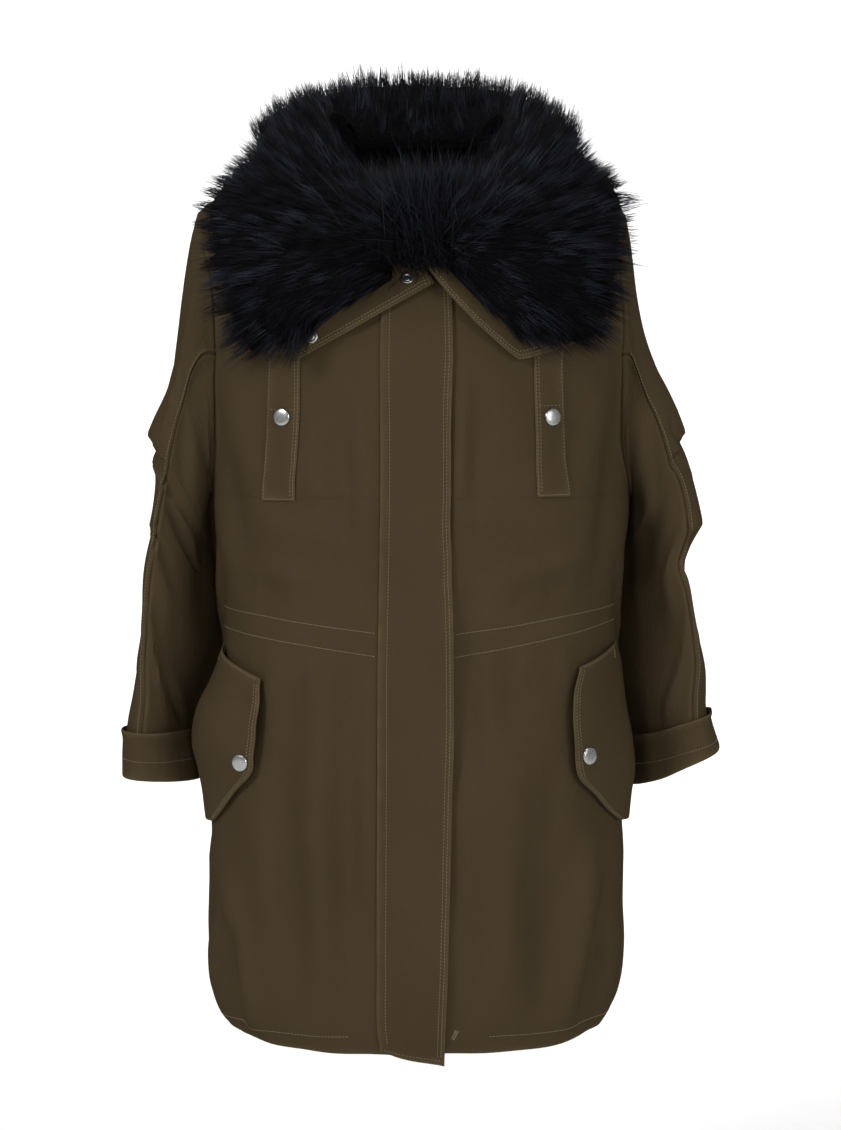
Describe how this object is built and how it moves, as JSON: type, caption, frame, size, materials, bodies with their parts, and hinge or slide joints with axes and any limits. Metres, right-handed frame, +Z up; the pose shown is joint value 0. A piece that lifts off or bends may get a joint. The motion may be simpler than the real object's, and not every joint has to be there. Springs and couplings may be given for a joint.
{
  "type": "parka coat",
  "caption": "Thigh-length parka coat in olive twill with a fly front, waist channel, pocket flaps, turned cuffs and a deep fold-over black fur collar.",
  "frame": {"origin": "inside the neck opening, where the wearer's neck and shoulders carry the coat", "axes": "+Z up along the wearer; the front faces -Y; +X is the wearer's left"},
  "size_m": [0.5969, 0.312, 0.9825],
  "materials": {
    "olive_twill": "matte tightly woven twill with a faint sheen",
    "black_fur": "long soft pile, glossy strands",
    "snap_metal": "brushed nickel"
  },
  "bodies": {
    "root": {"back": "olive_twill", "chest_snap_left": "snap_metal", "chest_snap_right": "snap_metal", "chest_tab_left": "olive_twill", "chest_tab_right": "olive_twill", "collar_left": "olive_twill", "collar_right": "olive_twill", "collar_socket_lower": "snap_metal", "collar_socket_upper": "snap_metal", "cuff_left": "olive_twill", "cuff_right": "olive_twill", "fly_placket": "olive_twill", "front_left": "olive_twill", "front_right": "olive_twill", "fur_collar": "black_fur", "pocket_flap_left": "olive_twill", "pocket_flap_right": "olive_twill", "pocket_snap_left": "snap_metal", "pocket_snap_right": "snap_metal", "sleeve_top_left": "olive_twill", "sleeve_top_right": "olive_twill", "sleeve_under_left": "olive_twill", "sleeve_under_right": "olive_twill"}
  },
  "joints": []
}
